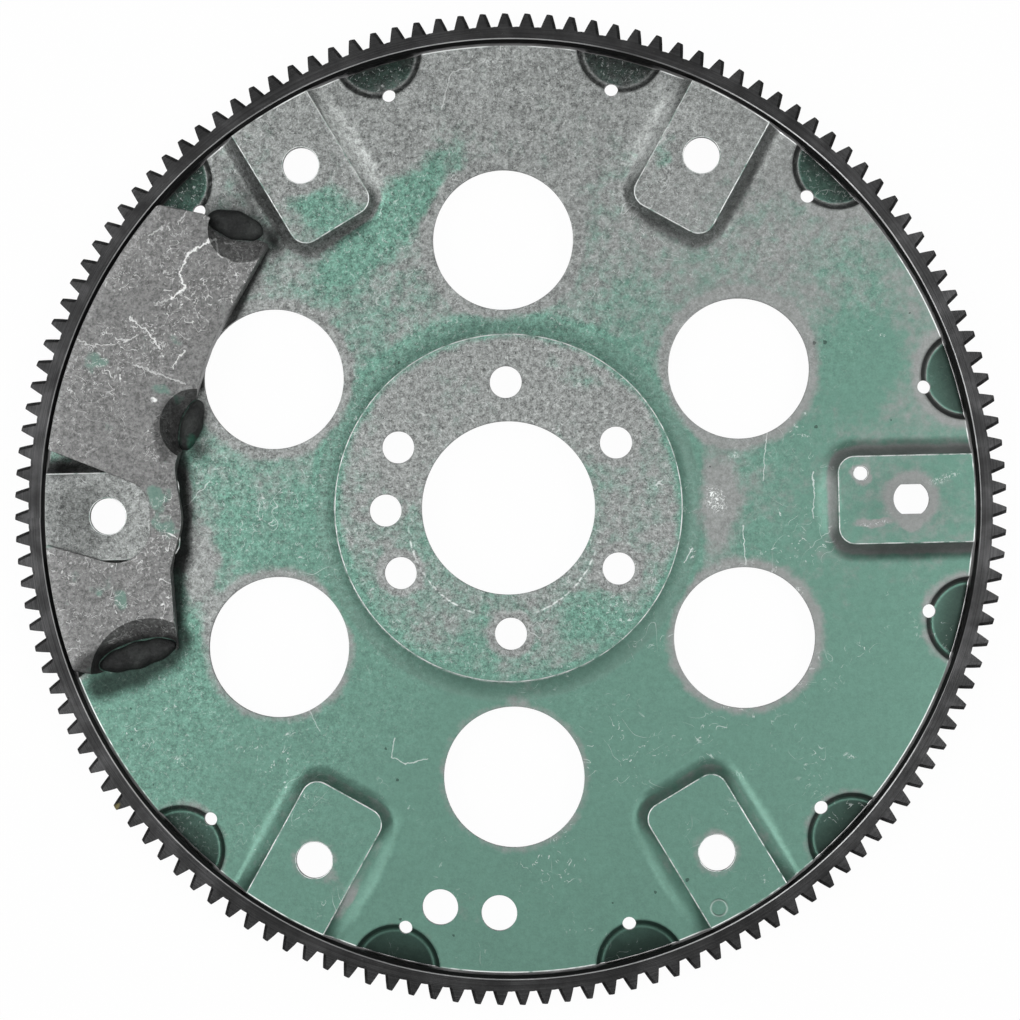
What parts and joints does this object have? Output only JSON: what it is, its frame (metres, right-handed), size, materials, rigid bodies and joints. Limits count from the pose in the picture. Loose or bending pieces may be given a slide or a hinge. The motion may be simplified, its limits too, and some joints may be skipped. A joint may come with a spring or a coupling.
{
  "type": "flexplate",
  "caption": "Flat pressed-steel flexplate with a starter ring gear round its rim, raised converter pads, lightening holes, a central bore and a welded balance weight.",
  "frame": {"origin": "on the axis, in the plane of the ring gear's rear face", "axes": "+Z along the axis towards the torque converter; +X towards the pad with the slotted hole"},
  "size_m": [0.3582, 0.3582, 0.0172],
  "materials": {
    "oiled_sheet_steel": "grey-green oiled sheet, satin, with fine scratches and pale scuffs",
    "dark_hardened_steel": "dark satin scale on cut teeth",
    "bare_plate_steel": "grey satin plate with dents and pale scratches",
    "weld_metal": "dark weld bead with soot"
  },
  "bodies": {
    "root": {"flexplate_disc": "oiled_sheet_steel", "ring_gear": "dark_hardened_steel", "balance_weight": "bare_plate_steel", "ring_weld_01": "weld_metal", "ring_weld_02": "weld_metal", "ring_weld_03": "weld_metal", "ring_weld_04": "weld_metal", "ring_weld_05": "weld_metal", "ring_weld_06": "weld_metal", "ring_weld_07": "weld_metal", "ring_weld_08": "weld_metal", "ring_weld_09": "weld_metal", "ring_weld_10": "weld_metal", "ring_weld_11": "weld_metal", "ring_weld_12": "weld_metal", "weight_weld_upper": "weld_metal", "weight_weld_inner": "weld_metal", "weight_weld_lower": "weld_metal"}
  },
  "joints": []
}
